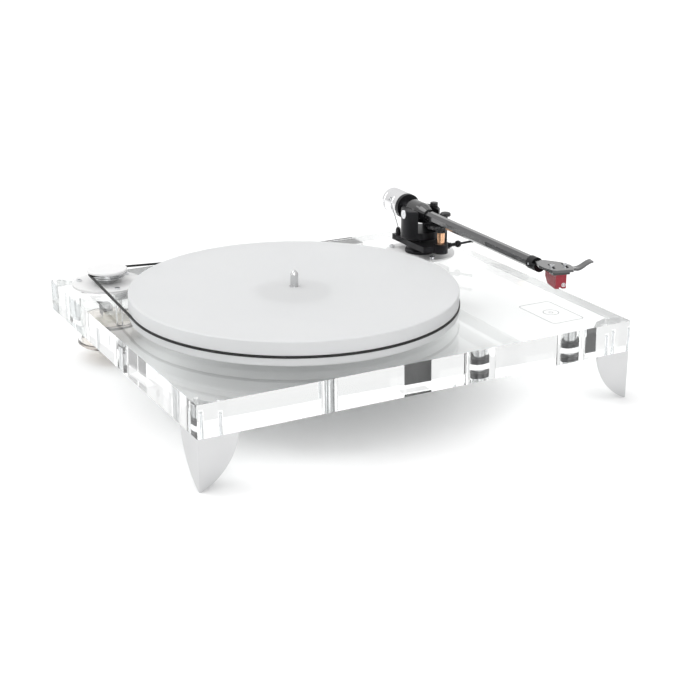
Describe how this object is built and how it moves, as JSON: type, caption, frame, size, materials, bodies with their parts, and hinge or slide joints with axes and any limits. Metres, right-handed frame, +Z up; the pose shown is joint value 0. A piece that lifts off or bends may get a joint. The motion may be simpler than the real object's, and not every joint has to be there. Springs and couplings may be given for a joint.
{
  "type": "turntable record player",
  "caption": "Belt-driven turntable: clear slab plinth on blade feet, thick frosted platter, corner motor pod, and a gimballed tonearm with counterweight, cueing lever and cartridge.",
  "frame": {"origin": "centre of the plinth's outline, on the surface that the feet stand on", "axes": "+X to the right along the front edge, +Y from the front to the back, +Z up along the platter's spindle"},
  "size_m": [0.422, 0.362, 0.131],
  "materials": {
    "clear_acrylic": "clear, polished faces and edges",
    "frosted_acrylic": "frosted, satin",
    "white_acrylic": "frosted white",
    "tan_acrylic": "tinted, polished",
    "mirror_steel": "polished",
    "silver_aluminium": "fine turned",
    "chrome_weight": "polished",
    "screw_steel": "polished",
    "shaft_steel": "ground",
    "gold_contact": "plated",
    "copper_piston": "polished",
    "black_anodised": "black anodised, satin",
    "grey_anodised": "dark grey anodised",
    "black_plastic": "matte",
    "gloss_black": "glossy",
    "red_plastic": "translucent, glossy",
    "belt_rubber": "smooth",
    "foot_rubber": "matte",
    "cork_rubber": "matte",
    "circuit_board": "matte"
  },
  "bodies": {
    "base": {"plinth": "clear_acrylic", "front_left_foot": "mirror_steel", "front_right_foot": "mirror_steel", "rear_foot": "silver_aluminium", "rear_foot_pad": "foot_rubber", "foot_screws": "screw_steel", "bearing_housing": "silver_aluminium", "thrust_ball": "shaft_steel", "drive_belt": "belt_rubber", "motor_plate": "white_acrylic", "motor_plate_screws": "screw_steel", "motor_pod": "clear_acrylic", "pod_base": "tan_acrylic", "motor_can": "shaft_steel", "motor_isolator": "cork_rubber", "motor_board": "circuit_board", "power_switch": "black_plastic", "socket_block": "black_plastic", "phono_sockets": "gold_contact", "power_inlet": "black_plastic", "ground_post": "gold_contact", "arm_base_plate": "white_acrylic", "arm_base_screws": "screw_steel", "arm_pillar": "black_anodised", "pillar_sleeve": "silver_aluminium", "pillar_ring": "black_anodised", "pillar_screw": "screw_steel", "arm_platform": "black_anodised", "cue_cylinder": "black_anodised", "arm_rest": "black_anodised", "arm_rest_cap": "black_plastic", "bias_post": "black_plastic", "bias_wire": "shaft_steel"},
    "platter": {"platter_hub": "silver_aluminium", "spindle": "mirror_steel", "platter": "frosted_acrylic"},
    "pulley": {"motor_shaft": "shaft_steel", "motor_pulley": "silver_aluminium", "pulley_cap": "white_acrylic"},
    "yoke": {"yoke_shaft": "shaft_steel", "yoke": "black_anodised", "pivot_screws": "screw_steel"},
    "dial": {"bias_dial": "black_plastic"},
    "arm": {"bearing_block": "gloss_black", "rear_stub": "screw_steel", "arm_tube": "grey_anodised", "head_collar": "black_anodised", "collar_screw": "screw_steel", "headshell": "grey_anodised", "cartridge_screws": "screw_steel", "cartridge_body": "gloss_black", "cartridge_pins": "gold_contact", "stylus_housing": "red_plastic", "cantilever": "screw_steel"},
    "weight": {"counterweight": "chrome_weight", "counterweight_flange": "black_anodised"},
    "cue_lift": {"cue_piston": "copper_piston", "cue_rest": "black_plastic"},
    "cue_lever": {"cue_lever": "black_anodised"},
    "power_toggle": {"power_toggle": "mirror_steel"}
  },
  "joints": [
    {"name": "platter_spin", "type": "hinge", "parent": "base", "child": "platter", "pos_m": [-0.043, -0.0135, 0.0763], "axis": [0, 0, 1], "continuous": true},
    {"name": "pulley_spin", "type": "hinge", "parent": "base", "child": "pulley", "pos_m": [-0.1655, 0.1455, 0.0844], "axis": [0, 0, 1], "continuous": true},
    {"name": "arm_swing", "type": "hinge", "parent": "base", "child": "yoke", "pos_m": [0.157, 0.094, 0.092], "axis": [0, 0, -1], "range_deg": [0, 50]},
    {"name": "arm_tilt", "type": "hinge", "parent": "yoke", "child": "arm", "pos_m": [0.157, 0.094, 0.1175], "axis": [-0.9998, 0.0209, 0], "range_deg": [-0.6, 10]},
    {"name": "counterweight_slide", "type": "slide", "parent": "arm", "child": "weight", "axis": [0.0209, 0.9998, 0], "range_m": [-0.004, 0.004]},
    {"name": "bias_dial_turn", "type": "hinge", "parent": "yoke", "child": "dial", "pos_m": [0.173, 0.09366, 0.1226], "axis": [0, 0, 1], "range_deg": [0, 270]},
    {"name": "cue_lever_turn", "type": "hinge", "parent": "base", "child": "cue_lever", "pos_m": [0.17, 0.058, 0.0895], "axis": [1, 0, 0], "range_deg": [0, 75]},
    {"name": "cue_lift_slide", "type": "slide", "parent": "base", "child": "cue_lift", "axis": [0, 0, 1], "range_m": [-0.006, 0]},
    {"name": "power_toggle_flip", "type": "hinge", "parent": "base", "child": "power_toggle", "pos_m": [-0.1655, 0.1555, 0.018], "axis": [1, 0, 0], "range_deg": [-12, 12]}
  ],
  "couplings": [
    {"joint": "pulley_spin", "follows": "platter_spin", "ratio": 8.858},
    {"joint": "cue_lever_turn", "follows": "cue_lift_slide", "rad_per_m": -218}
  ]
}
